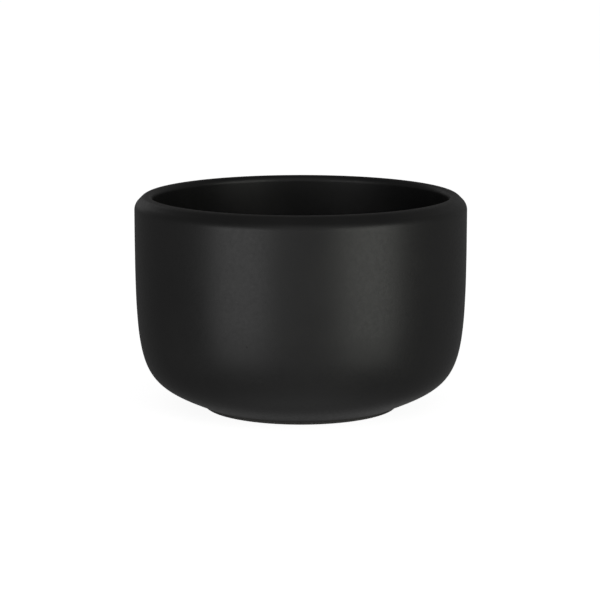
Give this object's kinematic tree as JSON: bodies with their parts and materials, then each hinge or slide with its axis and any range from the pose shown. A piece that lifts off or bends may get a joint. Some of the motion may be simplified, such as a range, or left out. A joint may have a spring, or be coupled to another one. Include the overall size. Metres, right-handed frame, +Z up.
{
  "type": "sugar bowl",
  "caption": "Open, lidless stoneware sugar bowl: rolled shoulder, rounded belly, low foot ring, matt black glaze inside and out.",
  "frame": {"origin": "centre of the foot ring's face, which the bowl stands on", "axes": "+Z up along the axis that the bowl is turned about; X and Y are alike"},
  "size_m": [0.09, 0.09, 0.058],
  "materials": {
    "stoneware": "bare, fine-grained, rough",
    "black_glaze": "satin-matt"
  },
  "bodies": {
    "root": {"stoneware_body": "stoneware", "outer_glaze": "black_glaze", "inner_glaze": "black_glaze", "base_glaze": "black_glaze"}
  },
  "joints": []
}
